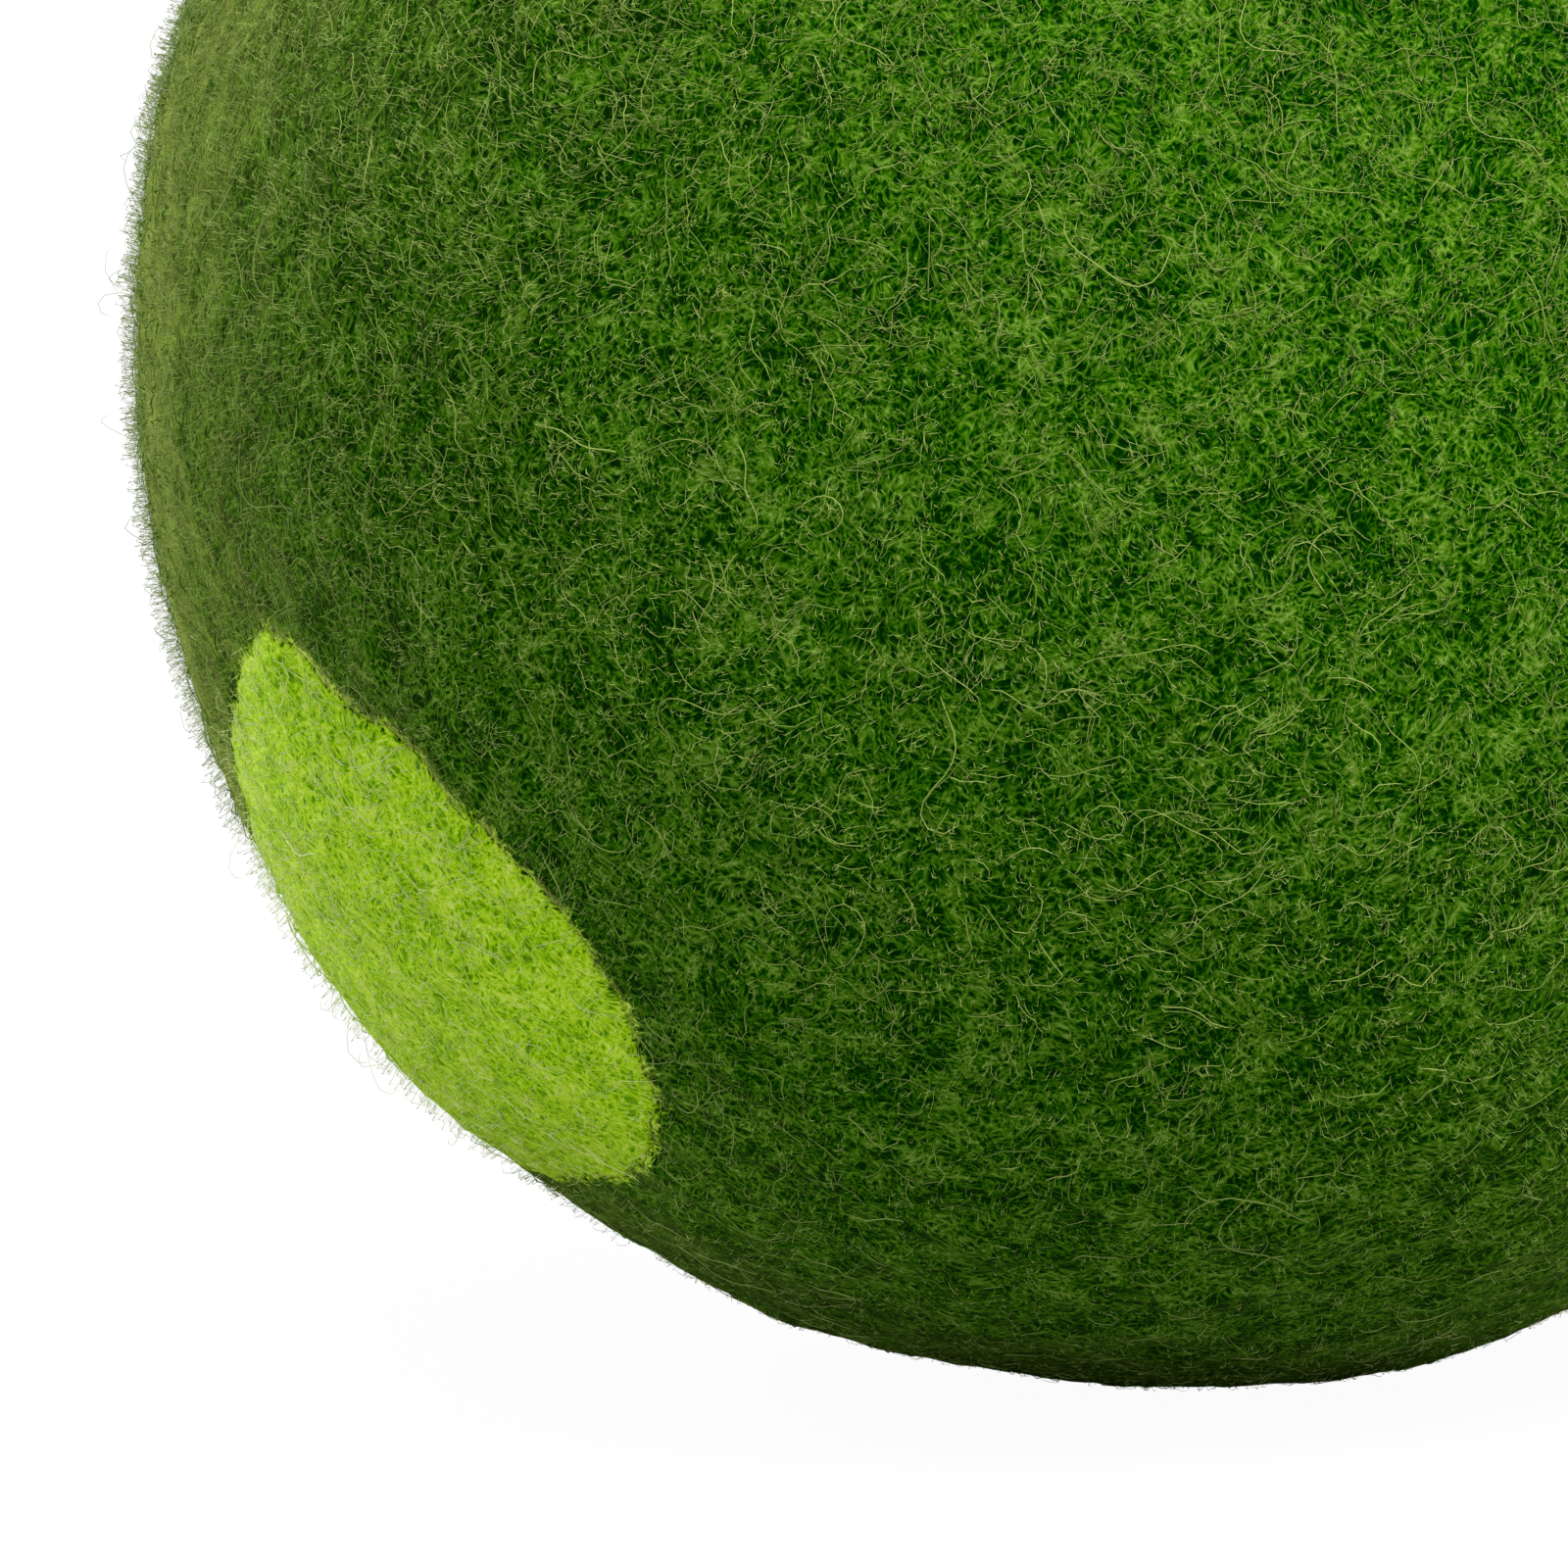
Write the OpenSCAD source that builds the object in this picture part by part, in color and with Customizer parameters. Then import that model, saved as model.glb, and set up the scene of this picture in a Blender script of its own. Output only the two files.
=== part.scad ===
// Felted wool rattle ball for a baby.
// A seamless dyed felt layer with round felt dots set into it covers a core of undyed fleece.
// A snap-together plastic capsule of loose steel pellets sits in the middle and makes the sound.
// The origin is the middle of the flat patch that the ball sits on, with +Z up.

/* [Ball] */
// Outer diameter of the ball
ball_d = 75; // [66:1:95]
// Depth of the flat that the ball's own weight presses into its underside
rest_flat = 0.5; // [0.3:0.1:1.5]
// Thickness of the dyed felt layer
felt_t = 5; // [3.5:0.5:8]

/* [Dots] */
// Mean width of a dot across its face
dot_d = 24.6; // [14:0.2:28]
// Thickness of the felt pad that makes a dot
dot_t = 2; // [1:0.25:3]
// How far a dot's two ends stand out beyond a circle, and its two sides fall short of it
dot_oval = 1.7; // [0:0.1:2.5]
// How far a dot's hand-cut edge strays from a true oval
dot_waver = 0.7; // [0:0.05:1]
// How far the one corner left on a dot's edge stands out
dot_corner = 1.6; // [0:0.1:2.5]
// Compass angle of the first dot, anticlockwise from +X
dot_azimuth = -151; // [-180:1:180]
// Angle of the first dot above the ball's middle, or below it if negative
dot_elevation = -33; // [-40:1:-20]
// Turn of the other dots about the line through the first one
dot_roll = 62; // [0:1:90]

/* [Capsule] */
// Outer diameter of the rattle capsule
capsule_d = 35; // [30:1:42]
// Thickness of the capsule's wall
capsule_wall = 1.6; // [1.4:0.1:2.4]
// Height of the lip that the lid snaps over
lip_h = 3; // [2:0.5:3.5]
// Radius of the snap bead round the lip
bead_r = 0.3; // [0.15:0.05:0.35]
// Distance from the lip's free end down to the middle of the bead
bead_drop = 1.2; // [0.6:0.1:1.5]

/* [Pellets] */
// Diameter of a pellet
pellet_d = 5; // [3:0.5:6]
// Number of pellets, one in the middle and the others round it
pellet_count = 10; // [4:1:12]

/* [Fits] */
// Gap between one wool layer and the next, and between the core and the capsule
layer_gap = 0.1; // [0.05:0.05:0.3]
// Gap round a dot in its pocket
dot_gap = 0.1; // [0.05:0.05:0.3]
// Gap between the capsule's lip and its lid
snap_gap = 0.05; // [0.02:0.01:0.1]
// Gap between a pellet and the capsule, and half the gap between two pellets
pellet_gap = 0.2; // [0.1:0.05:0.4]

/* [Hidden] */
$fn = 96;
ball_r = ball_d / 2;
centre_z = ball_r - rest_flat;
core_r = ball_r - felt_t - layer_gap;

// One turn for each way that a dot faces: the first dot, four round it and one opposite
dot_turns = [[0, 0, 0], [90, 0, 0], [-90, 0, 0], [0, 90, 0], [0, -90, 0], [180, 0, 0]];
dot_count = len(dot_turns);
// Angle between two points of a dot's outline
dot_step = 7.5;
// A dot's edge swells outwards in this many places
dot_lobes = 3;
// Where the ends of each oval lie
oval_angle = 55;
// Where the swelling and the corner lie on the first dot, and how far they turn from dot to dot
lobe_angle = 1;
lobe_turn = 40;
corner_angle = 113;
corner_turn = 110;
// A higher power makes the corner narrower
corner_power = 40;

capsule_r = capsule_d / 2;
capsule_ri = capsule_r - capsule_wall;
lip_t = capsule_wall / 2;
lip_ro = capsule_ri + lip_t;
bead_z = lip_h - bead_drop;

// The pellets' centres keep to a sphere of this radius when they lie on the capsule's wall
run_r = capsule_ri - pellet_gap - pellet_d / 2;
pellet_pitch = pellet_d + 2 * pellet_gap;
ring_count = pellet_count - 1;
ring_r = max(pellet_pitch, pellet_pitch / (2 * sin(180 / ring_count)));

// How far dot i's edge lies from its middle at angle a
function dot_edge(i, a) =
    let (oval = cos(2 * (a - oval_angle)))
    let (lobe = cos(dot_lobes * (a - lobe_angle - lobe_turn * (i - 1))))
    let (corner = pow(max(0, cos(a - corner_angle - corner_turn * (i - 1))), corner_power))
    dot_d / 2 + dot_oval * oval + dot_waver * lobe + dot_corner * corner;

// Outline of dot i, grown outwards by a gap
function dot_outline(i, grow) = [
    for (a = [0:dot_step:360 - dot_step])
        (dot_edge(i, a) + grow) * [cos(a), sin(a)]
];

// Where a pellet's centre lies at rest, from the capsule's middle
function pellet_place(i) =
    let (across = i == 1 ? 0 : ring_r, turn = 360 * (i - 2) / ring_count)
    [across * cos(turn), across * sin(turn), -sqrt(run_r * run_r - across * across)];

// Moves what is drawn round the ball's middle up to its place
module at_centre() {
    translate([0, 0, centre_z]) children();
}

// Everything lower than the surface that the ball sits on
module below_floor() {
    translate([-ball_r, -ball_r, -ball_d]) cube(ball_d);
}

// The half of space above or below the capsule's seam, as far as the capsule reaches
module half_space(above) {
    translate([-capsule_d, -capsule_d, above ? 0 : -2 * capsule_d])
        cube(2 * capsule_d);
}

// The hollow ball that both capsule halves are cut from
module capsule_wall_ball() {
    difference() {
        sphere(r = capsule_r);
        sphere(r = capsule_ri);
    }
}

// The column of space that a dot fills, from the ball's middle outwards along the dot's own axis
module dot_column(i, grow) {
    rotate([0, 90 - dot_elevation, dot_azimuth])
        rotate([0, 0, dot_roll])
            rotate(dot_turns[i - 1])
                linear_extrude(height = ball_d)
                    polygon(dot_outline(i, grow));
}

// The dyed layer: a hollow felt ball, pressed flat where it rests, with a pocket for each dot
module outer_felt() {
    color("darkolivegreen")
        difference() {
            at_centre() sphere(r = ball_r);
            at_centre() sphere(r = ball_r - felt_t);
            below_floor();
            for (i = [1:dot_count]) at_centre() dot_pocket(i);
        }
}

// The hollow that a dot is set into
module dot_pocket(i) {
    difference() {
        dot_column(i, dot_gap);
        sphere(r = ball_r - dot_t - dot_gap);
    }
}

// A dot of lime felt, level with the ball's surface
module felt_dot(i) {
    color("yellowgreen")
        difference() {
            at_centre()
                intersection() {
                    dot_column(i, 0);
                    sphere(r = ball_r);
                }
            at_centre() sphere(r = ball_r - dot_t);
            below_floor();
        }
}

// The undyed fleece wound round the capsule, under the dyed layer
module fleece_core() {
    color("antiquewhite")
        at_centre()
            difference() {
                sphere(r = core_r);
                sphere(r = capsule_r + layer_gap);
            }
}

// Lower half of the capsule, with the lip and the snap bead that hold the lid
module capsule_base() {
    color("whitesmoke")
        at_centre() {
            difference() {
                capsule_wall_ball();
                half_space(above = true);
            }
            rotate_extrude()
                translate([capsule_ri, -lip_t]) square([lip_t, lip_t + lip_h]);
            rotate_extrude()
                translate([lip_ro, bead_z]) circle(r = bead_r);
        }
}

// Upper half of the capsule, with the rebate and the groove that snap over the lip
module capsule_lid() {
    color("whitesmoke")
        at_centre()
            difference() {
                capsule_wall_ball();
                half_space(above = false);
                translate([0, 0, -snap_gap])
                    cylinder(r = lip_ro + snap_gap, h = lip_h + 2 * snap_gap);
                rotate_extrude()
                    translate([lip_ro, bead_z]) circle(r = bead_r + snap_gap);
            }
}

// One loose pellet, lying on the floor of the capsule
module pellet(i) {
    color("silver")
        at_centre()
            translate(pellet_place(i)) sphere(d = pellet_d);
}

outer_felt();
fleece_core();
capsule_base();
capsule_lid();
for (i = [1:dot_count])
    felt_dot(i);
for (i = [1:pellet_count])
    pellet(i);
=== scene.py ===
"""Looks of a felted wool rattle ball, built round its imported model.

The dyed felt, its dots and the fleece core are modelled as meshes, and thousands of curling fibres lie
over the felt. The capsule and the pellets keep their own solids and get materials. Lengths are in metres.
"""

import math

import bpy
import numpy as np
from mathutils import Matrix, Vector


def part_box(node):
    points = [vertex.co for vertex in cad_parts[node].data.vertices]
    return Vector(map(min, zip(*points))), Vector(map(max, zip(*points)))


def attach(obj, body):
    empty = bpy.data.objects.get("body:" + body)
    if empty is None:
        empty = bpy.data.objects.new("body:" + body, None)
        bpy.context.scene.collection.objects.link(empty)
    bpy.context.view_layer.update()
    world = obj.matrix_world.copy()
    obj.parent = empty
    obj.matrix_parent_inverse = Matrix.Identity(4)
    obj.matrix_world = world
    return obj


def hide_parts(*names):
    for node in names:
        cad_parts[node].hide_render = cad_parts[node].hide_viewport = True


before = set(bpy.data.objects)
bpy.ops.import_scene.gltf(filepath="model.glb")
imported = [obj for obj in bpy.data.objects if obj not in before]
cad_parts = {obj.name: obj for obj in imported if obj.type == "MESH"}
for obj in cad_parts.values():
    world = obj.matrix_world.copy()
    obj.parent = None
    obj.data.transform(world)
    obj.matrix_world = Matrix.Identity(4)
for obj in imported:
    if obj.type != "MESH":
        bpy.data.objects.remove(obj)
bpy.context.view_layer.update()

MM = 0.001

# Sizes that the frame gives, rounded to a tenth of a millimetre
DECIMALS = 4
felt_low, felt_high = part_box("outer_felt")
core_low, core_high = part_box("fleece_core")
capsule_low, capsule_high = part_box("capsule_base")
BALL_R = round((felt_high.x - felt_low.x) / 2, DECIMALS)
CENTRE = np.array([0.0, 0.0, felt_high.z - BALL_R])
CORE_R = round((core_high.z - core_low.z) / 2, DECIMALS)
CAPSULE_R = round((capsule_high.x - capsule_low.x) / 2, DECIMALS)
# The gap between one layer and the next, as in the part's source
LAYER_GAP = 0.1 * MM

# The view in the photograph, in its own pixels
PHOTO_SIDE = 1600
BALL_AT = (1186, 358)
BALL_R_PIXELS = 1057
VIEW_ELEVATION = math.radians(8)
VIEW_DISTANCE = 0.6
SENSOR = 36.0
NEAREST_SEEN = 0.01
VIEW_RIGHT = np.array([1.0, 0.0, 0.0])
VIEW_UP = np.array([0.0, math.sin(VIEW_ELEVATION), math.cos(VIEW_ELEVATION)])
VIEW_BACK = np.array([0.0, -math.cos(VIEW_ELEVATION), math.sin(VIEW_ELEVATION)])

# The dots: where they lie and how their edges run, as in the part's source
DOT_AZIMUTH = math.radians(-151)
DOT_ELEVATION = math.radians(-33)
DOT_ROLL = math.radians(62)
DOT_R = 12.3 * MM
DOT_T = 2.0 * MM
DOT_OVAL = 1.7 * MM
DOT_WAVER = 0.7 * MM
DOT_CORNER = 1.6 * MM
DOT_LOBES = 3
OVAL_ANGLE = math.radians(55)
LOBE_ANGLE = math.radians(1)
LOBE_TURN = math.radians(40)
CORNER_ANGLE = math.radians(113)
CORNER_TURN = math.radians(110)
CORNER_POWER = 40
# Small nicks and bulges of a dot's edge: degrees round the dot, mm outwards, width in degrees
DOT_NICKS = ((16, -0.15, 6), (64, -0.25, 6), (98, -0.45, 7), (112, -0.4, 4), (130, 0.65, 10),
             (330, 0.4, 10))
# The fine ragged line of a dot's edge: its size, and its waves as their number, share and shift from dot
# to dot
DOT_RAGGED = 0.18 * MM
RAGGED_WAVES = ((19, 0.5, 2), (31, 0.3, 5), (53, 0.3, 1))
# Name of the attribute that keeps how far a point of the felt lies outside the nearest dot
BESIDE_DOT = "beside_dot"

# The felt's unevenness: its skin lies a little under the part's surface, swells in the middle of a dot
# and is drawn in along a dot's edge
FUZZ_DEPTH = 0.07 * MM
DOT_CROWN = 0.35 * MM
DOT_DIP = 0.22 * MM
DOT_DIP_WIDTH = 2.5 * MM
# Waves of the skin, as length and height in millimetres
FELT_SEED = 11
FELT_WAVES = ((30, 0.10), (9, 0.07), (3, 0.05), (1.3, 0.03))
# Bumps and hollows of the outline: degrees round the view, mm outwards, width in degrees
OUTLINE_BUMPS = ((-178, -0.55, 6), (168, -0.45, 7), (152, 0.28, 3), (134, 0.45, 8), (128, 0.15, 3),
                 (119, -0.25, 3), (112, 0.3, 4), (102, -0.18, 5), (90, -0.1, 3), (77, 0.4, 7))
# Height below which the wool is worn, more so towards the underside. Below it the felt's sheen also fades
# out, which keeps the underside dark as painted shade
WORN_AND_SHADED_BELOW = 50 * MM


# Helpers for shapes on the ball

def turned(axis, angle):
    """Matrix of a turn about the x, y or z axis."""
    c, s = math.cos(angle), math.sin(angle)
    a, b = [i for i in range(3) if i != axis]
    if axis == 1:
        s = -s
    m = np.eye(3)
    m[a, a] = m[b, b] = c
    m[a, b], m[b, a] = -s, s
    return m


def dot_frames():
    """A matrix for each dot, with its own axes as columns: the first dot, four round it, one opposite."""
    quarter = math.pi / 2
    base = turned(2, DOT_AZIMUTH) @ turned(1, quarter - DOT_ELEVATION) @ turned(2, DOT_ROLL)
    turns = [np.eye(3), turned(0, quarter), turned(0, -quarter), turned(1, quarter), turned(1, -quarter),
             turned(0, math.pi)]
    return [base @ t for t in turns]


DOTS = dot_frames()


def dot_edge(i, angle):
    """How far the edge of dot i lies from its middle: the part's own edge with nicks and a ragged line."""
    oval = np.cos(2 * (angle - OVAL_ANGLE))
    lobe = np.cos(DOT_LOBES * (angle - LOBE_ANGLE - LOBE_TURN * i))
    corner = np.clip(np.cos(angle - CORNER_ANGLE - CORNER_TURN * i), 0, 1) ** CORNER_POWER
    ragged = sum(share * np.sin(waves * angle + shift * i) for waves, share, shift in RAGGED_WAVES)
    edge = DOT_R + DOT_OVAL * oval + DOT_WAVER * lobe + DOT_CORNER * corner + DOT_RAGGED * ragged
    for at, size, width in DOT_NICKS:
        off = np.cos(angle - math.radians(at) - CORNER_TURN * i) - 1
        edge = edge + size * MM * np.exp(off / math.radians(width) ** 2)
    return edge


def beside_dot(i, d):
    """For unit directions d: how far each lies outside the edge of dot i, and its angle round the dot."""
    local = d @ DOTS[i]
    angle = np.arctan2(local[:, 1], local[:, 0])
    out = BALL_R * np.hypot(local[:, 0], local[:, 1]) - dot_edge(i, angle)
    return np.where(local[:, 2] > 0, out, BALL_R), angle


def beside_dots(d):
    """How far each direction lies outside the nearest dot, negative inside one, and which dot that is."""
    gaps = np.stack([beside_dot(i, d)[0] for i in range(len(DOTS))])
    return gaps.min(0), gaps.argmin(0)


def unit(v):
    """Vectors of length 1 that point the same way."""
    return v / np.linalg.norm(v, axis=-1, keepdims=True)


def wave_field(rng, wavelength, count=28):
    """A smooth random height of about plus or minus 1 over the ball, as a sum of plane waves."""
    k = unit(rng.normal(size=(count, 3))) * (2 * math.pi * BALL_R / wavelength)
    phases = rng.uniform(0, 2 * math.pi, count)

    def height(d):
        total = np.zeros(len(d))
        for wave, phase in zip(k, phases):
            total += np.sin(d @ wave + phase)
        return total * math.sqrt(1 / count)

    return height


felt_rng = np.random.default_rng(FELT_SEED)
FELT_FIELDS = [(wave_field(felt_rng, length * MM), height * MM) for length, height in FELT_WAVES]


def felt_radius(d):
    """Distance from the ball's middle to the felt's surface, in each direction d."""
    r = np.full(len(d), BALL_R - FUZZ_DEPTH)
    for field, size in FELT_FIELDS:
        r += size * field(d)
    for angle, size, width in OUTLINE_BUMPS:
        towards = math.cos(math.radians(angle)) * VIEW_RIGHT - math.sin(math.radians(angle)) * VIEW_UP
        r += size * MM * np.exp((d @ towards - 1) / math.radians(width) ** 2)
    gap, _ = beside_dots(d)
    inside = np.clip(-gap / DOT_R, 0, 1)
    r += DOT_CROWN * inside * (2 - inside)
    r -= DOT_DIP * np.exp(-((gap / DOT_DIP_WIDTH) ** 2))
    return r


def placed(d, r):
    """Points at distance r from the ball's middle, none lower than the floor."""
    p = CENTRE + d * r[:, None]
    p[:, 2] = np.maximum(p[:, 2], 0)
    return p


# Steps in half the cube's side. Points of two faces that lie on the same step are one point
SAME_POINT_STEPS = 1e5


def quad_sphere(cells):
    """Unit directions and outward quads of a ball made from a cube, each face cut into cells by cells."""
    line = np.tan(np.linspace(-1, 1, cells + 1) * math.pi / 4)
    u, v = np.meshgrid(line, line, indexing="ij")
    sides = []
    for axis in range(3):
        for sign in (1, -1):
            p = np.empty((cells + 1, cells + 1, 3))
            p[..., axis] = sign
            p[..., (axis + 1) % 3] = u
            p[..., (axis + 2) % 3] = v * sign
            sides.append(p)
    points = np.stack(sides).reshape(-1, 3)
    steps = np.round(points * SAME_POINT_STEPS).astype(int)
    _, first, same = np.unique(steps, axis=0, return_index=True, return_inverse=True)
    number = np.arange(len(points)).reshape(len(sides), cells + 1, cells + 1)
    quads = np.stack([number[:, :-1, :-1], number[:, 1:, :-1], number[:, 1:, 1:], number[:, :-1, 1:]], -1)
    return unit(points[first]), same.reshape(-1)[quads.reshape(-1, 4)]


# Helpers for meshes

def new_piece(name, points, polygons, material_slots, slots=None, body="ball"):
    """A smooth mesh from points and a list of polygon arrays, each of shape (count, corners)."""
    mesh = bpy.data.meshes.new(name)
    corners = np.concatenate([p.reshape(-1) for p in polygons])
    sides = np.concatenate([np.full(len(p), p.shape[1]) for p in polygons])
    mesh.vertices.add(len(points))
    mesh.vertices.foreach_set("co", np.asarray(points, np.float32).reshape(-1))
    mesh.loops.add(len(corners))
    mesh.loops.foreach_set("vertex_index", corners.astype(np.int32))
    mesh.polygons.add(len(sides))
    mesh.polygons.foreach_set("loop_start", (np.cumsum(sides) - sides).astype(np.int32))
    for material in material_slots:
        mesh.materials.append(material)
    if slots is not None:
        mesh.polygons.foreach_set("material_index", slots.astype(np.int32))
    mesh.polygons.foreach_set("use_smooth", np.ones(len(sides), bool))
    mesh.update(calc_edges=True)
    piece = bpy.data.objects.new(name, mesh)
    bpy.context.scene.collection.objects.link(piece)
    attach(piece, body)
    return piece


# Helpers for materials

class Nodes:
    """A material's node tree, with one short method for each kind of node that is used here."""

    def __init__(self, name):
        self.material = bpy.data.materials.new(name)
        self.material.use_nodes = True
        self.tree = self.material.node_tree
        self.shader = self.tree.nodes["Principled BSDF"]

    def add(self, kind, settings=None, inputs=None):
        """A new node with its settings, and its inputs set or linked."""
        node = self.tree.nodes.new(kind)
        for key, value in (settings or {}).items():
            setattr(node, key, value)
        for key, value in (inputs or {}).items():
            self.feed(node.inputs[key], value)
        return node

    def feed(self, socket, value):
        """Links a socket to another one, or sets it to a constant."""
        if isinstance(value, bpy.types.NodeSocket):
            self.tree.links.new(value, socket)
        else:
            socket.default_value = value

    def maths(self, operation, *values):
        node = self.add("ShaderNodeMath", {"operation": operation})
        for socket, value in zip(node.inputs, values):
            self.feed(socket, value)
        return node.outputs[0]

    def place(self, per_metre):
        """The surface point, scaled for a texture."""
        coords = self.add("ShaderNodeTexCoord")
        mapping = self.add("ShaderNodeMapping", inputs={"Vector": coords.outputs["Object"]})
        mapping.inputs["Scale"].default_value = (per_metre,) * 3
        return mapping.outputs[0]

    def noise(self, where, scale, detail=2.0, roughness=0.5, distortion=0.0):
        node = self.add("ShaderNodeTexNoise", inputs={
            "Vector": where, "Scale": scale, "Detail": detail, "Roughness": roughness,
            "Distortion": distortion})
        return node.outputs["Fac"]

    def ramp(self, value, stops):
        """The colour at a value between stops, each a place and a colour."""
        node = self.add("ShaderNodeValToRGB", inputs={"Fac": value})
        elements = node.color_ramp.elements
        while len(elements) < len(stops):
            elements.new(0.5)
        for element, (at, colour) in zip(elements, stops):
            element.position = at
            element.color = (*colour, 1)
        return node.outputs["Color"]

    def mix(self, share, first, second):
        """Two colours mixed. Their sockets share names with those for numbers, so they go by place."""
        node = self.add("ShaderNodeMix", {"data_type": "RGBA"}, {0: share, 6: first, 7: second})
        return node.outputs[2]

    def bump(self, height, strength, distance):
        node = self.add("ShaderNodeBump", inputs={
            "Height": height, "Strength": strength, "Distance": distance})
        self.feed(self.shader.inputs["Normal"], node.outputs[0])

    def finish(self, **sockets):
        """The material, with sockets of its shader set or linked."""
        for key, value in sockets.items():
            self.feed(self.shader.inputs[key.replace("_", " ")], value)
        return self.material


# The felt's mat. Soft streaks and a web of strands, as width and length in millimetres
STREAK_SIZE = (0.18, 1.0)
WEB_SIZE = (0.5, 1.5)
# A strand's height along its middle, how fast it falls off beside it, and how uneven it is
WEB_TOP = 0.69
WEB_FALL = 1.4
WEB_UNEVEN = 0.5
# Six directions, evenly spread. The first ones are the strands' and the others the streaks'
WEB_WAYS = 3
GOLDEN = (1 + math.sqrt(5)) / 2
MAT_WAYS = ((0, 1, GOLDEN), (0, -1, GOLDEN), (1, GOLDEN, 0), (-1, GOLDEN, 0), (GOLDEN, 0, 1),
            (GOLDEN, 0, -1))
LAYERS_APART = 50
# The mat's swirls: how far they carry it, in millimetres, and how many there are in a millimetre
SWIRL = 2.0
SWIRL_PITCH = 0.4
# Its clumps: how many there are in a millimetre, and how much they raise it, which also pales their colour
# as painted light
CLUMP_PITCH = 0.5
CLUMP_SHARE = 0.36
# Height of the mat at which lime ends on a dot's edge, how far higher hairs reach over it and how softly it
# ends, in millimetres
EDGE_TONE = 0.62
EDGE_REACH = 2.5
EDGE_SOFT = 0.25
# Strength and depth of the mat's relief
MAT_BUMP = (0.5, 0.2 * MM)
WOOL_ROUGHNESS = 0.95
# The pale bloom of fine wool ends at grazing angles
BLOOM = 1.0
BLOOM_TINT = (0.92, 1.0, 0.24, 1.0)
BLOOM_ROUGHNESS = 0.3
# Colours of the mat, from its pits to its top: the dye, darkened towards the pits by painted shade and
# paled towards the top by painted highlight
GREEN_MAT = ((0.55, (0.0001, 0.018, 0.0001)), (0.61, (0.003, 0.058, 0.0002)), (0.67, (0.032, 0.120, 0.001)),
             (0.74, (0.09, 0.21, 0.011)), (0.83, (0.20, 0.33, 0.07)))
LIME_MAT = ((0.53, (0.10, 0.28, 0.001)), (0.59, (0.23, 0.51, 0.002)), (0.66, (0.38, 0.66, 0.009)),
            (0.74, (0.54, 0.78, 0.07)), (0.83, (0.70, 0.86, 0.24)))
# Colours of the fibres that lie on it: the darkest, middle and palest shades
GREEN = ((0.0006, 0.034, 0.0002), (0.036, 0.140, 0.0015), (0.34, 0.46, 0.11))
LIME = ((0.13, 0.34, 0.002), (0.40, 0.66, 0.016), (0.78, 0.86, 0.40))
SHADES = 8
# Only the palest fibres, which stand free, glisten
FIBRE_ROUGHNESS = 0.8
FIBRE_SHINE = 0.25
SHINE_POWER = 4


def stretched(nodes, where, way, width, length):
    """The surface point for a texture that is drawn out along one direction."""
    mapping = nodes.add("ShaderNodeMapping", {"vector_type": "TEXTURE"}, {"Vector": where})
    mapping.inputs["Location"].default_value = [LAYERS_APART * v for v in way]
    mapping.inputs["Rotation"].default_value = Vector(way).to_track_quat("Z", "Y").to_euler()
    mapping.inputs["Scale"].default_value = (width, width, length)
    return mapping.outputs[0]


def mat_height(nodes):
    """Height of the mat: streaks and strands that swirl and cross, the highest on top, with clumps."""
    where = nodes.place(1 / MM)
    drift = nodes.add("ShaderNodeTexNoise", inputs={"Vector": where, "Scale": SWIRL_PITCH, "Detail": 2.0})
    swirled = nodes.add("ShaderNodeVectorMath", {"operation": "MULTIPLY_ADD"},
                        {0: drift.outputs["Color"], 1: (SWIRL,) * 3, 2: where}).outputs[0]
    highest = 0.0
    for way, web_way in zip(MAT_WAYS[WEB_WAYS:], MAT_WAYS):
        streak = nodes.noise(stretched(nodes, swirled, way, *STREAK_SIZE), 1.0)
        cells = nodes.add("ShaderNodeTexVoronoi", {"feature": "DISTANCE_TO_EDGE"},
                          {"Vector": stretched(nodes, swirled, web_way, *WEB_SIZE), "Scale": 1.0})
        crest = nodes.maths("MULTIPLY_ADD", nodes.maths("SUBTRACT", streak, 0.5), WEB_UNEVEN, WEB_TOP)
        strand = nodes.maths("MULTIPLY_ADD", cells.outputs["Distance"], -WEB_FALL, crest)
        highest = nodes.maths("MAXIMUM", highest, nodes.maths("MAXIMUM", streak, strand))
    clumps = nodes.maths("SUBTRACT", nodes.noise(where, CLUMP_PITCH, detail=4.0, roughness=0.7), 0.5)
    return nodes.maths("MULTIPLY_ADD", clumps, CLUMP_SHARE, highest)


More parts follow.
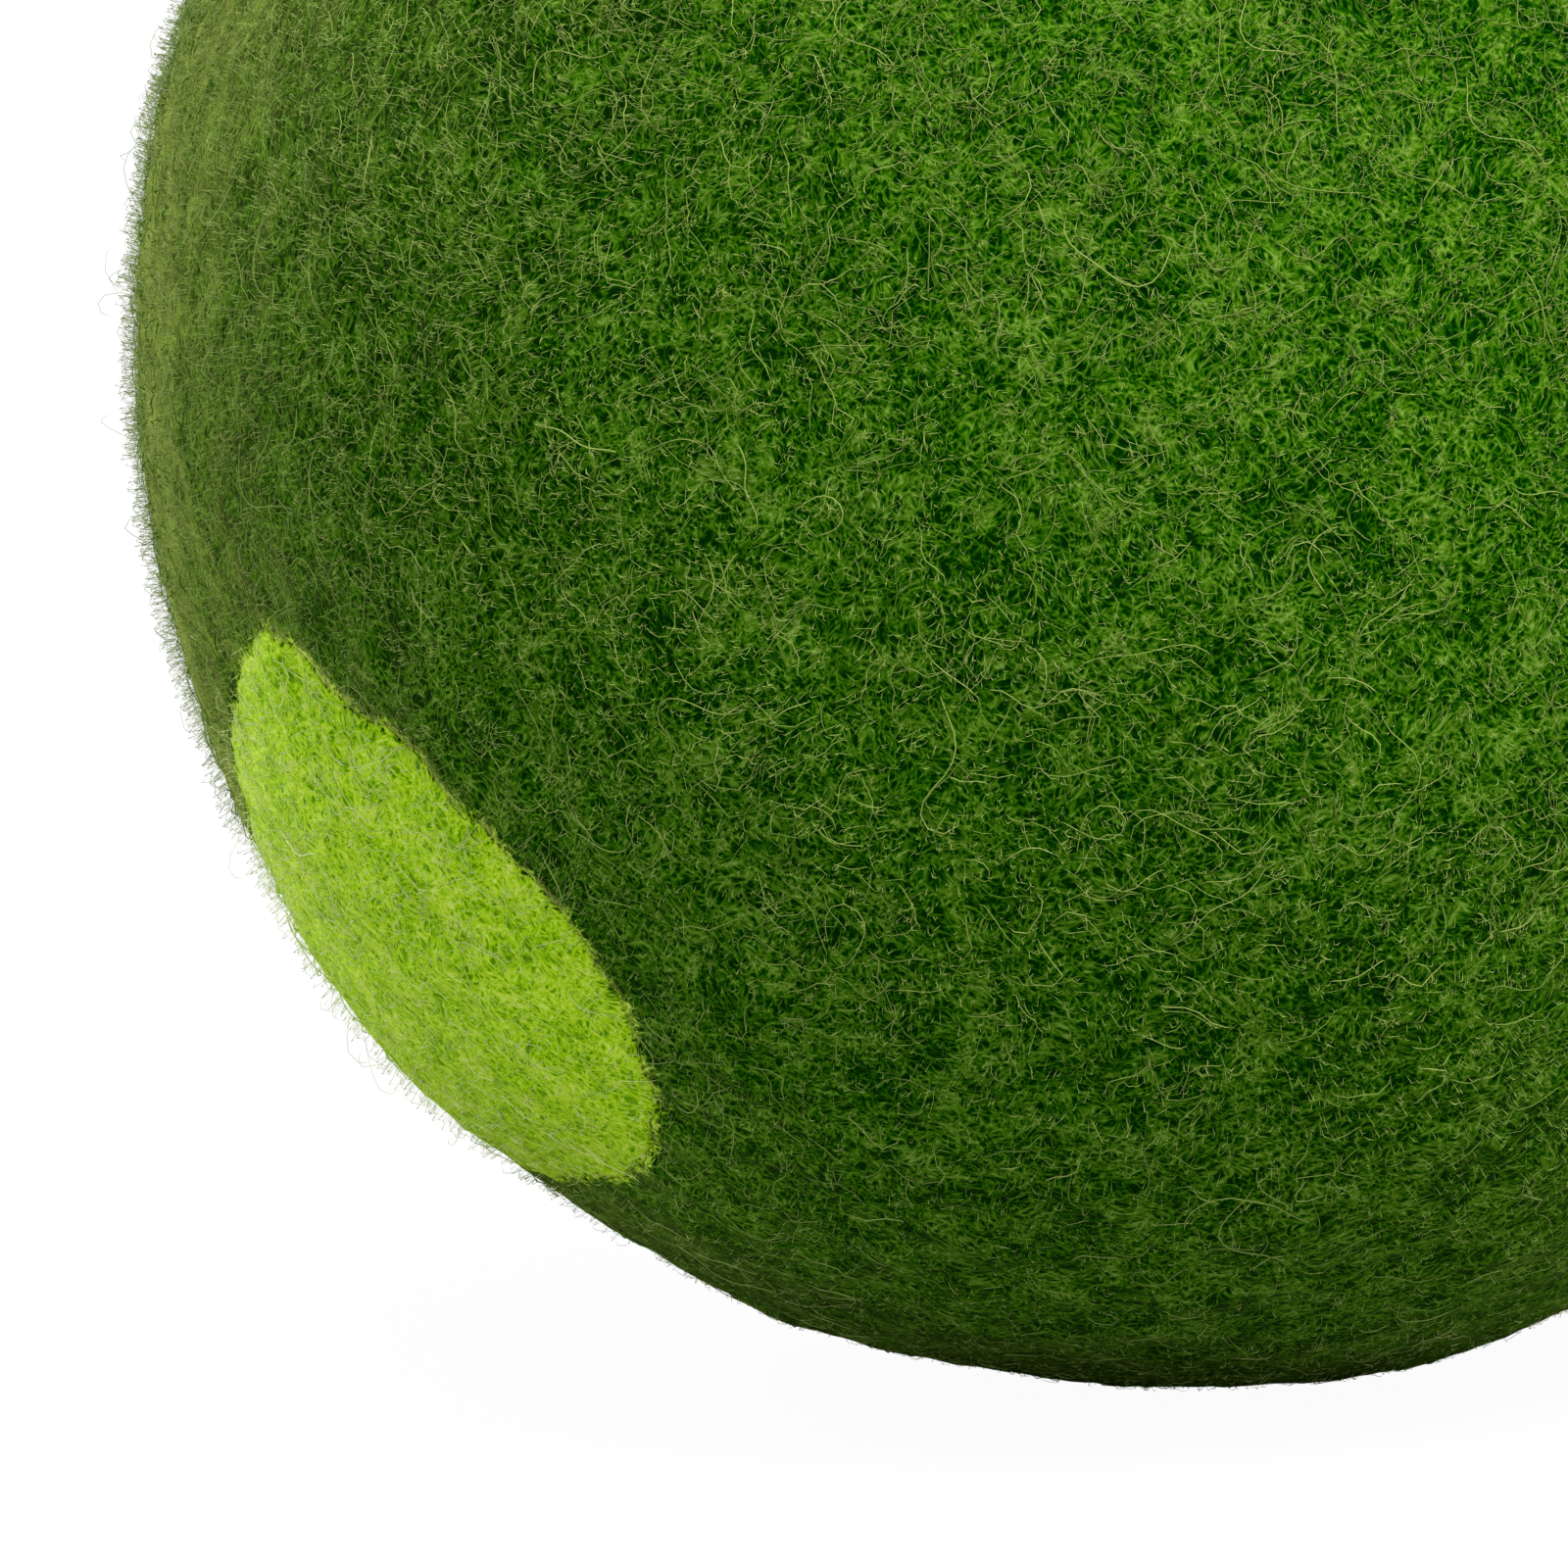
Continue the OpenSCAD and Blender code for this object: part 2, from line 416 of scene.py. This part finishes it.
def felt_material(name):
    """Dyed felt, coloured by the height of its mat, with painted shade in its pits and painted highlight on
    its top. At a dot's edge, lime hairs reach over green ones.
    """
    nodes = Nodes(name)
    height = mat_height(nodes)
    beside = nodes.add("ShaderNodeAttribute", {"attribute_name": BESIDE_DOT}).outputs["Fac"]
    over = nodes.maths("MULTIPLY", nodes.maths("SUBTRACT", height, EDGE_TONE), EDGE_REACH)
    lime = nodes.add("ShaderNodeMapRange", {"interpolation_type": "SMOOTHSTEP"}, {
        "Value": nodes.maths("SUBTRACT", over, beside), "From Min": -EDGE_SOFT, "From Max": EDGE_SOFT})
    # The ramps paint shade into the mat's pits and highlight onto its top
    colour = nodes.mix(lime.outputs[0], nodes.ramp(height, GREEN_MAT), nodes.ramp(height, LIME_MAT))
    nodes.bump(height, *MAT_BUMP)
    # The sheen fades out towards the underside: painted shade that keeps it dark
    high = nodes.add("ShaderNodeSeparateXYZ", inputs={0: nodes.place(1)}).outputs["Z"]
    bloom = nodes.add("ShaderNodeMapRange", inputs={"Value": high, "From Max": WORN_AND_SHADED_BELOW, "To Max": BLOOM})
    return nodes.finish(Base_Color=colour, Roughness=WOOL_ROUGHNESS, Specular_IOR_Level=0.0,
                        Sheen_Weight=bloom.outputs[0], Sheen_Roughness=BLOOM_ROUGHNESS,
                        Sheen_Tint=BLOOM_TINT)


def fibre_material(name, colour, shine):
    """One shade of dyed wool fibre. A piece's fibres mix them all."""
    nodes = Nodes(name)
    return nodes.finish(Base_Color=(*colour, 1), Roughness=FIBRE_ROUGHNESS, Specular_IOR_Level=shine)


def shades_of(name, dark, middle, pale):
    """Fibre materials from the darkest shade to the palest, in even steps through the middle one."""
    shares = np.linspace(0, 1, SHADES)
    mixed = np.stack([np.interp(shares, (0, 0.5, 1), channel) for channel in zip(dark, middle, pale)], 1)
    shines = FIBRE_SHINE * shares ** SHINE_POWER
    return [fibre_material(f"{name}_{k + 1}", colour.tolist(), shine)
            for k, (colour, shine) in enumerate(zip(mixed, shines.tolist()))]


green_felt = felt_material("green_felt")
lime_felt = felt_material("lime_felt")
green_shades = shades_of("green_fibre", *GREEN)
lime_shades = shades_of("lime_fibre", *LIME)

# What lies inside: colours from dark to pale, and patches, hairs, grain and scuffs as their number in a
# millimetre
FLEECE_TONES = ((0.3, (0.55, 0.47, 0.35)), (0.7, (0.8, 0.74, 0.62)))
FLEECE_PATCHES = 0.25
FLEECE_HAIRS = 0.9
FLEECE_HAIR_WIDTH = 0.06
FLEECE_BUMP = (0.5, 0.1 * MM)
FLEECE_SHINE = 0.15
PLASTIC_TONES = ((0.3, (0.74, 0.74, 0.71)), (0.7, (0.82, 0.82, 0.8)))
PLASTIC_PATCHES = 0.15
PLASTIC_GRAIN = 6.0
PLASTIC_BUMP = (0.1, 0.02 * MM)
STEEL_TONES = ((0.35, (0.46, 0.46, 0.47)), (0.65, (0.66, 0.66, 0.65)))
STEEL_SCUFFS = 2.5
# How far the roughness follows the grain or the scuffs, and what it is without them
PLASTIC_ROUGHNESS = (0.15, 0.35)
STEEL_ROUGHNESS = (0.3, 0.15)


def hair_lines(nodes, where, scale, width):
    """Thin curling lines, where a warped noise passes its middle value: 1 on a line and 0 away from it."""
    value = nodes.noise(where, scale, detail=1.0, distortion=0.6)
    from_middle = nodes.maths("ABSOLUTE", nodes.maths("SUBTRACT", value, 0.5))
    node = nodes.add("ShaderNodeMapRange", {"interpolation_type": "SMOOTHSTEP"},
                     {"Value": from_middle, "From Max": width, "To Min": 1.0, "To Max": 0.0})
    return node.outputs[0]


def fleece_material():
    """Undyed wool with hairs in relief."""
    nodes = Nodes("undyed_fleece")
    where = nodes.place(1 / MM)
    hairs = hair_lines(nodes, where, FLEECE_HAIRS, FLEECE_HAIR_WIDTH)
    tone = nodes.ramp(nodes.noise(where, FLEECE_PATCHES, detail=3.0), FLEECE_TONES)
    nodes.bump(hairs, *FLEECE_BUMP)
    return nodes.finish(Base_Color=tone, Roughness=WOOL_ROUGHNESS, Specular_IOR_Level=FLEECE_SHINE)


def plastic_material():
    """Pale plastic with a fine grain."""
    nodes = Nodes("capsule_plastic")
    where = nodes.place(1 / MM)
    tone = nodes.ramp(nodes.noise(where, PLASTIC_PATCHES), PLASTIC_TONES)
    grain = nodes.noise(where, PLASTIC_GRAIN, detail=3.0)
    nodes.bump(grain, *PLASTIC_BUMP)
    return nodes.finish(Base_Color=tone, Roughness=nodes.maths("MULTIPLY_ADD", grain, *PLASTIC_ROUGHNESS))


def steel_material():
    """Steel, scuffed from knocking about."""
    nodes = Nodes("pellet_steel")
    where = nodes.place(1 / MM)
    scuffs = nodes.noise(where, STEEL_SCUFFS, detail=5.0, roughness=0.7)
    tone = nodes.ramp(scuffs, STEEL_TONES)
    roughness = nodes.maths("MULTIPLY_ADD", scuffs, *STEEL_ROUGHNESS)
    return nodes.finish(Base_Color=tone, Metallic=1.0, Roughness=roughness)


# The dyed felt layer, hollow, with a pocket under each dot. Points this near a dot's edge are moved onto it
SKIN_CELLS = 124
LINING_CELLS = 16
SNAP = 0.26 * MM
POCKET = DOT_T + LAYER_GAP


def mark_edges(piece):
    """Keeps how far each point lies outside the nearest dot, in millimetres, for the felt's colours."""
    points = np.empty(3 * len(piece.data.vertices), np.float32)
    piece.data.vertices.foreach_get("co", points)
    gap, _ = beside_dots(unit(points.reshape(-1, 3) - CENTRE))
    marks = piece.data.attributes.new(BESIDE_DOT, "FLOAT", "POINT")
    marks.data.foreach_set("value", (gap / MM).astype(np.float32))


def make_felt():
    """The felt layer: an uneven skin outside and a round lining inside."""
    d, quads = quad_sphere(SKIN_CELLS)
    depth = np.zeros(len(d))
    for i, axes in enumerate(DOTS):
        gap, angle = beside_dot(i, d)
        near = np.abs(gap) < SNAP
        edge = dot_edge(i, angle[near]) / BALL_R
        across = [edge * np.cos(angle[near]), edge * np.sin(angle[near])]
        on_edge = np.stack([*across, np.sqrt(1 - edge ** 2)], 1)
        d[near] = on_edge @ axes.T
        depth[gap <= -SNAP] = POCKET
    outside = placed(d, felt_radius(d) - depth)
    lining, lining_quads = quad_sphere(LINING_CELLS)
    inside = CENTRE + lining * (CORE_R + LAYER_GAP)
    polygons = np.concatenate([quads, lining_quads[:, ::-1] + len(d)])
    piece = new_piece("felt_layer", np.concatenate([outside, inside]), [polygons], [green_felt])
    mark_edges(piece)
    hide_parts("outer_felt")


# The lime dots, each a crowned pad with a thinner skived edge. The underside has fewer rings than the top
DOT_RINGS = 44
DOT_SECTORS = 180
DOT_SEAM = 0.03 * MM
DOT_SKIVE = 0.9 * MM
UNDERSIDE_STEP = 4


def make_dot(i):
    """Dot i, as rings of points from the middle of its top round to the middle of its underside."""
    angle = np.arange(DOT_SECTORS) * 2 * math.pi / DOT_SECTORS
    edge = dot_edge(i, angle)

    def ring(reach, drop):
        flat = np.stack([reach * np.cos(angle), reach * np.sin(angle)], 1) / BALL_R
        local = np.concatenate([flat, np.sqrt(1 - (flat ** 2).sum(1, keepdims=True))], 1)
        d = local @ DOTS[i].T
        return placed(d, felt_radius(d) - drop)

    shares = np.arange(1, DOT_RINGS + 1) / DOT_RINGS
    rings = [ring((edge - DOT_SEAM) * s, 0) for s in shares]
    rings += [ring((edge - DOT_SKIVE) * s, DOT_T) for s in shares[::-UNDERSIDE_STEP]]
    top = DOTS[i][:, 2][None]
    poles = [placed(top, felt_radius(top)), placed(top, felt_radius(top) - DOT_T)]
    points = np.concatenate(rings + poles)
    around = np.arange(DOT_SECTORS)
    onward = (around + 1) % DOT_SECTORS
    quads = [np.stack([k + around, k + DOT_SECTORS + around, k + DOT_SECTORS + onward, k + onward], 1)
             for k in range(0, (len(rings) - 1) * DOT_SECTORS, DOT_SECTORS)]
    upper = len(rings) * DOT_SECTORS
    last = upper - DOT_SECTORS
    fans = [np.stack([np.full(DOT_SECTORS, upper), around, onward], 1),
            np.stack([np.full(DOT_SECTORS, upper + 1), last + onward, last + around], 1)]
    piece = new_piece(f"dot_{i + 1}", points, [np.concatenate(quads), *fans], [lime_felt])
    mark_edges(piece)
    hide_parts(f"felt_dot_{i + 1}")


# The fleece core, wound round the capsule in strands that lie in bands and sway a little
FLEECE_SEED = 23
FLEECE_CELLS = 56
WINDINGS = 5
STRAND = 3.2 * MM
STRAND_DEPTH = 0.6 * MM
BAND_LENGTH = 60 * MM
BAND_WAVES = 6
BAND_SWAY = 0.8 * MM
BAND_FROM = 0.1


def make_fleece():
    """The fleece: a ball with wound strands in relief outside and a round cavity for the capsule inside."""
    rng = np.random.default_rng(FLEECE_SEED)
    d, quads = quad_sphere(FLEECE_CELLS)
    ridges = np.zeros(len(d))
    for axis in unit(rng.normal(size=(WINDINGS, 3))):
        band = wave_field(rng, BAND_LENGTH, BAND_WAVES)(d)
        along = np.arcsin(np.clip(d @ axis, -1, 1)) * CORE_R + BAND_SWAY * band
        ridge = np.abs(np.cos(math.pi * along / STRAND))
        ridges = np.where(band > BAND_FROM, ridge, ridges)
    outside = CENTRE + d * (CORE_R - STRAND_DEPTH * (1 - ridges))[:, None]
    cavity, cavity_quads = quad_sphere(LINING_CELLS)
    inside = CENTRE + cavity * (CAPSULE_R + LAYER_GAP)
    polygons = np.concatenate([quads, cavity_quads[:, ::-1] + len(d)])
    piece = new_piece("fleece_winding", np.concatenate([outside, inside]), [polygons], [fleece_material()])
    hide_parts("fleece_core")


# The fibres. Each is a tube with this many sides, and its ends lie this deep in the felt
FIBRE_SEED = 5
SIDES = 3
SINK = 0.08 * MM
# None comes nearer to the floor than this
FLOOR_GAP = 0.04 * MM
# How far fibres take a dot's colour across its edge, and how few of those that cross it further are kept
EDGE_BLEND = 0.25 * MM
CROSSING = 0.5 * MM
CROSSING_KEPT = 0.15
# Pieces round each half of the ball
SECTORS = 10
# How far fibres stray from the swirls that they follow, in radians
SPREAD = 0.9
# Near the floor they are pressed down to a share of their lift, and worn down to a share of their number
PRESSED_BELOW = 12 * MM
PRESSED_LEFT = 0.2
WORN_LEFT = 0.15
# Share of fibres where the mat is even, how far it follows the clumps, and the least that it falls to
CLUMP_EVEN = 0.6
CLUMP_FOLLOWS = 0.4
CLUMP_LEAST = 0.1
# Painted light and shade: how far fibres on clumps are paler than those between them, which lie as if in
# shade
CLUMP_LIGHT_AND_SHADE = 0.14
# A free fibre rises over this part of a wave. A higher power keeps more fibres low
LOOP = 0.75 * math.pi
LIFT_POWER = 1.5
# A fibre's curl: how far it bends one way, how far it swings from side to side and how often
BEND = 0.3
SWING = (0.3, 1.0)
WANDER = (3, 12)

# Kinds of fibre, in millimetres, with curl in radians per millimetre. Tone 0 is the darkest wool and 1 the
# palest. Kinds that lie higher or stand free get paler tones, as painted light for the light that they
# catch and let through
KINDS = (
    # The top of the mat, dark and pale
    dict(count=30000, rings=1, length=(0.5, 1.2), curl=1.5, lift=(0.02, 0.25), loose=0.3,
         width=(0.05, 0.08), tone=(0.4, 0.8)),
    # Strays that lie on it, most of them short
    dict(count=14000, rings=5, length=(1.5, 4.0), curl=2.0, lift=(0.10, 0.30), loose=0.2,
         width=(0.035, 0.05), tone=(0.6, 0.85)),
    dict(count=500, rings=12, length=(3.0, 8.0), curl=1.5, lift=(0.15, 0.35), loose=0.1,
         width=(0.04, 0.06), tone=(0.75, 0.9)),
    # Fuzz that stands off it in loops and in short ends, and a few that fly further
    dict(count=30000, rings=2, length=(0.6, 1.8), curl=2.2, lift=(0.08, 0.90), loose=1.0,
         width=(0.014, 0.022), tone=(0.75, 0.95)),
    dict(count=200000, rings=1, length=(0.2, 0.6), curl=2.0, lift=(0.25, 0.85), loose=1.0,
         width=(0.02, 0.03), tone=(0.9, 1.1)),
    dict(count=2000, rings=4, length=(1.5, 3.5), curl=2.0, lift=(0.60, 1.50), loose=1.0,
         width=(0.014, 0.022), tone=(0.85, 1.0)),
)

# Swirls that the fibres follow, and clumps, as length in millimetres and share
MAT_SEED = 17
SWIRL_LENGTH = 14 * MM
CLUMP_WAVES = ((0.5, 0.55), (1.0, 0.5), (2.2, 0.35), (6.0, 0.15))
mat_rng = np.random.default_rng(MAT_SEED)
SWIRLS = [wave_field(mat_rng, SWIRL_LENGTH) for _ in range(3)]
CLUMPS = [(wave_field(mat_rng, length * MM), share) for length, share in CLUMP_WAVES]


def clump(d):
    """How thick the mat is in each direction: about plus or minus 1."""
    return sum(share * field(d) for field, share in CLUMPS)


def turned_about(d, t, angle):
    """Tangents t turned about the directions d."""
    return np.cos(angle)[:, None] * t + np.sin(angle)[:, None] * np.cross(d, t)


def fibre_paths(rng, count, rings, length, curl, lift, loose):
    """Kinked paths over the felt, of rings + 2 points each: unit directions and radii from the middle.

    The middle of a fibre rises by its lift and its ends lie under the surface, or its far end stands free.
    """
    d = unit(rng.normal(size=(2 * count, 3)))
    chance = np.clip(CLUMP_EVEN + CLUMP_FOLLOWS * clump(d), CLUMP_LEAST, 1)
    d = d[rng.uniform(size=len(d)) < chance][:count]
    count = len(d)
    swirl = np.stack([field(d) for field in SWIRLS], 1)
    t = turned_about(d, unit(np.cross(d, swirl)), rng.normal(0, SPREAD, count))
    steps = rings + 1
    step = rng.uniform(*length, count) * MM / steps
    bend = rng.normal(0, BEND * curl, count) / MM
    swing = rng.uniform(*SWING, count) * curl / MM
    phase = rng.uniform(0, 2 * math.pi, count)
    wander = rng.uniform(*WANDER, count)
    rise = (lift[0] + (lift[1] - lift[0]) * rng.uniform(size=count) ** LIFT_POWER) * MM
    rise *= np.clip((CENTRE[2] + BALL_R * d[:, 2]) / PRESSED_BELOW, PRESSED_LEFT, 1)
    free = rng.uniform(size=count) < loose
    path, radii = [], []
    for k in range(steps + 1):
        share = k / steps
        held = np.sin(math.pi * share) * (rise + SINK) - SINK
        flying = np.sin(LOOP * share) * (rise + SINK) - SINK
        radii.append(felt_radius(d) + np.where(free, flying, held))
        path.append(d)
        t = turned_about(d, t, (bend + swing * np.sin(phase + wander * share)) * step)
        ahead = unit(d + t * (step / BALL_R)[:, None])
        t = unit(t - (t * ahead).sum(1, keepdims=True) * ahead)
        d = ahead
    return np.stack(path, 1), np.stack(radii, 1)


def fibre_tubes(path, radii, width):
    """Points of three-sided tubes along the paths: the first tip, the rings and the last tip of each."""
    points = CENTRE + path * radii[..., None]
    along = unit(np.gradient(points, axis=1))[:, 1:-1]
    across = unit(np.cross(along, path[:, 1:-1]))
    out = np.cross(across, along)
    turn = np.arange(SIDES) * 2 * math.pi / SIDES
    ring = np.cos(turn)[:, None] * out[:, :, None] + np.sin(turn)[:, None] * across[:, :, None]
    tubes = points[:, 1:-1, None] + ring * (width / 2)[:, None, None, None]
    return np.concatenate([points[:, :1], tubes.reshape(len(points), -1, 3), points[:, -1:]], 1)


def tube_polygons(rings):
    """Quads and end triangles of one tube."""
    number = 1 + np.arange(rings * SIDES).reshape(rings, SIDES)
    onward = np.roll(number, -1, axis=1)
    quads = np.stack([number[:-1], onward[:-1], onward[1:], number[1:]], -1).reshape(-1, 4)
    first = np.zeros(SIDES, int)
    last = np.full(SIDES, rings * SIDES + 1)
    fans = [np.stack([first, onward[0], number[0]], 1), np.stack([last, number[-1], onward[-1]], 1)]
    return quads, np.concatenate(fans)


def fibre_batch(rng, count, rings, length, curl, lift, loose, width, tone):
    """Fibres of one kind: tubes, the shade of each, its dot's number or -1 on the green, and its root."""
    path, radii = fibre_paths(rng, count, rings, length, curl, lift, loose)
    count = len(path)
    tubes = fibre_tubes(path, radii, rng.uniform(*width, count) * MM)
    middle = path[:, (rings + 1) // 2]
    # Painted light and shade: fibres on clumps are paler, those between them darker
    share = rng.uniform(*tone, count) + CLUMP_LIGHT_AND_SHADE * clump(middle)
    shade = np.clip(share * SHADES, 0, SHADES - 1).astype(int)
    gap, dot = beside_dots(middle)
    home = np.where(gap + rng.normal(0, EDGE_BLEND, count) < 0, dot, -1)
    ends = np.stack([beside_dots(path[:, k])[0] for k in (0, -1)])
    crosses = np.where(home < 0, ends.min(0) < -CROSSING, ends.max(0) > CROSSING)
    kept = ~crosses | (rng.uniform(size=count) < CROSSING_KEPT)
    kept &= tubes[..., 2].min(1) > FLOOR_GAP
    kept &= rng.uniform(size=count) < np.clip(tubes[:, 0, 2] / WORN_AND_SHADED_BELOW, WORN_LEFT, 1)
    return tubes[kept], shade[kept], home[kept], path[kept, 0]


def make_fibres():
    """All the fibres, gathered into one piece for each dot and each sector of the ground."""
    rng = np.random.default_rng(FIBRE_SEED)
    gathered = {}
    for kind in KINDS:
        tubes, shade, home, root = fibre_batch(rng, **kind)
        wide = np.arctan2(root[:, 1], root[:, 0]) / (2 * math.pi) % 1 * SECTORS
        sector = wide.astype(int) + SECTORS * (root[:, 2] > 0)
        region = np.where(home < 0, sector, 2 * SECTORS + home)
        for number in np.unique(region):
            chosen = region == number
            gathered.setdefault(number, []).append((kind["rings"], tubes[chosen], shade[chosen]))
    for number, parts in sorted(gathered.items()):
        if number < 2 * SECTORS:
            fibre_piece(f"felt_fibres_{number + 1}", parts, green_shades)
        else:
            fibre_piece(f"dot_{number - 2 * SECTORS + 1}_fibres", parts, lime_shades)


def fibre_piece(name, parts, shades):
    """One piece from parts, each the rings of its tubes, their points and their shades."""
    points, quads, fans, quad_shades, fan_shades = [], [], [], [], []
    start = 0
    for rings, tubes, shade in parts:
        tube_quads, tube_fans = tube_polygons(rings)
        offset = start + np.arange(len(tubes))[:, None, None] * tubes.shape[1]
        points.append(tubes.reshape(-1, 3))
        quads.append((tube_quads[None] + offset).reshape(-1, 4))
        fans.append((tube_fans[None] + offset).reshape(-1, 3))
        quad_shades.append(np.repeat(shade, len(tube_quads)))
        fan_shades.append(np.repeat(shade, len(tube_fans)))
        start += tubes.shape[0] * tubes.shape[1]
    polygons = [np.concatenate(quads), np.concatenate(fans)]
    slots = np.concatenate(quad_shades + fan_shades)
    piece = new_piece(name, np.concatenate(points), polygons, shades, slots)


def dress_rattle():
    """Gives the capsule and the pellets, which keep their solids, their materials."""
    plastic, steel = plastic_material(), steel_material()
    for name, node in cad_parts.items():
        if name.startswith("capsule"):
            node.data.materials.clear()
            node.data.materials.append(plastic)
        if name.startswith("pellet"):
            node.data.materials.clear()
            node.data.materials.append(steel)


# The floor: its side, how much of its white is glow, and the tone that lights the ball from below
FLOOR_SIDE = 8.0
FLOOR_GLOW = 0.96
FLOOR_TONE = 0.40
# Strength of the light from the world. Where the world shows, it is white
SKY_LIGHT = 0.85
# The lamps: place, side, power in watts and colour
KEY = ((0.65, -0.7, 1.05), 0.35, 21.0, (1.0, 0.93, 0.9))
RIM = ((-0.6, 0.75, 0.3), 0.5, 10.0, (1.0, 1.0, 1.0))


def seen_directly(tree):
    """1 for what the camera, a mirror or glass shows, and 0 for light on its way to the ball."""
    path = tree.nodes.new("ShaderNodeLightPath")
    seen = path.outputs["Is Camera Ray"]
    for ray in ("Is Glossy Ray", "Is Transmission Ray"):
        either = tree.nodes.new("ShaderNodeMath")
        either.operation = "MAXIMUM"
        tree.links.new(seen, either.inputs[0])
        tree.links.new(path.outputs[ray], either.inputs[1])
        seen = either.outputs[0]
    return seen


def make_floor():
    """A white floor that keeps the ball's shadow. What shows of it is part glow, so that it stays white."""
    nodes = Nodes("white_floor")
    tree = nodes.tree
    tree.nodes.remove(nodes.shader)
    glow = nodes.add("ShaderNodeEmission", inputs={"Color": (1, 1, 1, 1), "Strength": FLOOR_GLOW})
    thin = nodes.add("ShaderNodeBsdfDiffuse", inputs={"Color": (1 - FLOOR_GLOW,) * 3 + (1,)})
    plain = nodes.add("ShaderNodeBsdfDiffuse", inputs={"Color": (FLOOR_TONE,) * 3 + (1,)})
    shown = nodes.add("ShaderNodeAddShader", inputs={0: glow.outputs[0], 1: thin.outputs[0]})
    both = nodes.add("ShaderNodeMixShader", inputs={
        0: seen_directly(tree), 1: plain.outputs[0], 2: shown.outputs[0]})
    tree.links.new(both.outputs[0], tree.nodes["Material Output"].inputs["Surface"])
    bpy.ops.mesh.primitive_plane_add(size=FLOOR_SIDE)
    floor = bpy.context.object
    floor.name = "floor"
    floor.data.materials.append(nodes.material)


def make_world():
    """Even light from all sides, white where it shows."""
    world = bpy.data.worlds.new("studio")
    bpy.context.scene.world = world
    world.use_nodes = True
    tree = world.node_tree
    background = tree.nodes["Background"]
    background.inputs["Color"].default_value = (1, 1, 1, 1)
    strength = tree.nodes.new("ShaderNodeMapRange")
    strength.inputs["To Min"].default_value = SKY_LIGHT
    strength.inputs["To Max"].default_value = 1.0
    tree.links.new(seen_directly(tree), strength.inputs["Value"])
    tree.links.new(strength.outputs[0], background.inputs["Strength"])


def make_lamp(name, place, side, power, colour):
    """A square lamp that faces the ball's middle."""
    data = bpy.data.lights.new(name, "AREA")
    data.size = side
    data.energy = power
    data.color = colour
    lamp = bpy.data.objects.new(name, data)
    bpy.context.scene.collection.objects.link(lamp)
    lamp.location = place
    lamp.rotation_euler = (Vector(CENTRE) - Vector(place)).to_track_quat("-Z", "Y").to_euler()


def make_camera():
    """The photograph's view: a long lens aimed so that the ball's middle lies at BALL_AT."""
    focal_pixels = BALL_R_PIXELS / math.tan(math.asin(BALL_R / VIEW_DISTANCE))
    data = bpy.data.cameras.new("view")
    data.sensor_width = SENSOR
    data.lens = focal_pixels / PHOTO_SIDE * SENSOR
    data.clip_start = NEAREST_SEEN
    camera = bpy.data.objects.new("view", data)
    bpy.context.scene.collection.objects.link(camera)
    across = (BALL_AT[0] - PHOTO_SIDE / 2) / focal_pixels * VIEW_DISTANCE
    down = (BALL_AT[1] - PHOTO_SIDE / 2) / focal_pixels * VIEW_DISTANCE
    place = Vector(CENTRE + VIEW_BACK * VIEW_DISTANCE)
    aim = Vector(CENTRE - VIEW_RIGHT * across + VIEW_UP * down)
    camera.location = place
    camera.rotation_euler = (aim - place).to_track_quat("-Z", "Y").to_euler()
    bpy.context.scene.camera = camera


make_felt()
for number in range(len(DOTS)):
    make_dot(number)
make_fleece()
make_fibres()
dress_rattle()
make_floor()
make_world()
make_lamp("key", *KEY)
make_lamp("rim", *RIM)
make_camera()
bpy.context.scene.view_settings.view_transform = "Standard"
